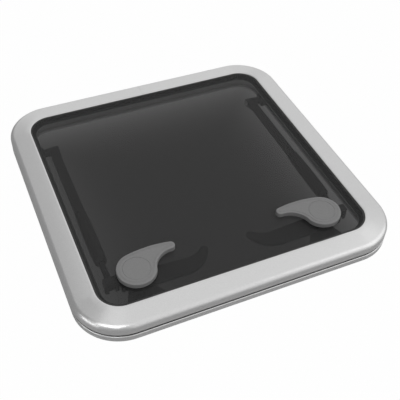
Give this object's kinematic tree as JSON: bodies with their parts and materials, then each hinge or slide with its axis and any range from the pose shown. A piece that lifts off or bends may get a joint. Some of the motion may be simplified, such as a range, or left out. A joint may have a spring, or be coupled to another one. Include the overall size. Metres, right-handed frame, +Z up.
{
  "type": "deck hatch",
  "caption": "Low-profile square deck hatch: aluminium lid and base frames, tinted lens, two latch handles and two telescopic stays.",
  "frame": {"origin": "centre of the clear opening in the plane of the base flange's underside, which seats on the deck", "axes": "+Z up, away from the deck; +X to the right along the front edge; -Y towards the front edge with the latch handles; the lid hinges about a line parallel to X at the rear"},
  "size_m": [0.58, 0.5875, 0.0463],
  "materials": {
    "anodised_aluminium": "satin silver anodised",
    "mill_aluminium": "mill finish",
    "tinted_lens": "polished grey-tinted acrylic",
    "black_sealant": "matt black silicone",
    "black_rubber": "matt black rubber",
    "grey_plastic": "fine-textured grey moulding",
    "black_plastic": "fine-textured black moulding",
    "black_arm": "black anodised flat bar",
    "stainless_steel": "bright stainless steel"
  },
  "bodies": {
    "base": {"base_frame": "anodised_aluminium", "hinge_screws_base": "stainless_steel", "hinge_leaf_base_left": "anodised_aluminium", "hinge_pin_left": "stainless_steel", "latch_catch_left": "black_plastic", "catch_screws_left": "stainless_steel", "stay_bracket_left": "black_plastic", "bracket_screws_left": "stainless_steel", "stay_pivot_pin_left": "stainless_steel", "hinge_leaf_base_right": "anodised_aluminium", "hinge_pin_right": "stainless_steel", "latch_catch_right": "black_plastic", "catch_screws_right": "stainless_steel", "stay_bracket_right": "black_plastic", "bracket_screws_right": "stainless_steel", "stay_pivot_pin_right": "stainless_steel"},
    "lid": {"lid_frame": "anodised_aluminium", "lid_joiner": "mill_aluminium", "lens": "tinted_lens", "lens_sealant": "black_sealant", "lid_gasket": "black_rubber", "hinge_screws_lid": "stainless_steel", "hinge_leaf_lid_left": "anodised_aluminium", "spindle_bush_left": "black_plastic", "bush_nut_left": "black_plastic", "handle_washer_left": "black_rubber", "handle_housing_left": "black_plastic", "stay_pivot_screw_left": "stainless_steel", "hinge_leaf_lid_right": "anodised_aluminium", "spindle_bush_right": "black_plastic", "bush_nut_right": "black_plastic", "handle_washer_right": "black_rubber", "handle_housing_right": "black_plastic", "stay_pivot_screw_right": "stainless_steel"},
    "handle_left": {"outer_handle_left": "grey_plastic", "handle_cap_left": "grey_plastic", "spindle_left": "stainless_steel", "inner_handle_left": "black_plastic", "latch_cam_left": "black_plastic", "cam_screw_left": "stainless_steel"},
    "stay_arm_left": {"stay_arm_left": "black_arm"},
    "stay_grip_left": {"stay_grip_left": "black_plastic", "stay_rod_end_left": "black_plastic", "stay_cross_pin_left": "stainless_steel"},
    "handle_right": {"outer_handle_right": "grey_plastic", "handle_cap_right": "grey_plastic", "spindle_right": "stainless_steel", "inner_handle_right": "black_plastic", "latch_cam_right": "black_plastic", "cam_screw_right": "stainless_steel"},
    "stay_arm_right": {"stay_arm_right": "black_arm"},
    "stay_grip_right": {"stay_grip_right": "black_plastic", "stay_rod_end_right": "black_plastic", "stay_cross_pin_right": "stainless_steel"}
  },
  "joints": [
    {"name": "lid_hinge", "type": "hinge", "parent": "base", "child": "lid", "pos_m": [0, 0.294, 0.01365], "axis": [-1, 0, 0], "range_deg": [0, 60]},
    {"name": "handle_turn_left", "type": "hinge", "parent": "lid", "child": "handle_left", "pos_m": [-0.1737, -0.1935, 0.035], "axis": [0, 0, 1], "range_deg": [0, 90]},
    {"name": "stay_pivot_left", "type": "hinge", "parent": "base", "child": "stay_arm_left", "pos_m": [-0.2175, 0.17, 0.013], "axis": [-1, 0, 0], "range_deg": [0, 75]},
    {"name": "stay_slide_left", "type": "slide", "parent": "stay_arm_left", "child": "stay_grip_left", "axis": [0, -1, 0], "range_m": [0, 0.08]},
    {"name": "handle_turn_right", "type": "hinge", "parent": "lid", "child": "handle_right", "pos_m": [0.1737, -0.1935, 0.035], "axis": [0, 0, -1], "range_deg": [0, 90]},
    {"name": "stay_pivot_right", "type": "hinge", "parent": "base", "child": "stay_arm_right", "pos_m": [0.2175, 0.17, 0.013], "axis": [-1, 0, 0], "range_deg": [0, 75]},
    {"name": "stay_slide_right", "type": "slide", "parent": "stay_arm_right", "child": "stay_grip_right", "axis": [0, -1, 0], "range_m": [0, 0.08]}
  ],
  "couplings": [
    {"joint": "stay_pivot_left", "follows": "lid_hinge", "ratio": 1.238},
    {"joint": "stay_slide_left", "follows": "lid_hinge", "m_per_rad": 0.072552},
    {"joint": "stay_pivot_right", "follows": "lid_hinge", "ratio": 1.238},
    {"joint": "stay_slide_right", "follows": "lid_hinge", "m_per_rad": 0.072552}
  ]
}
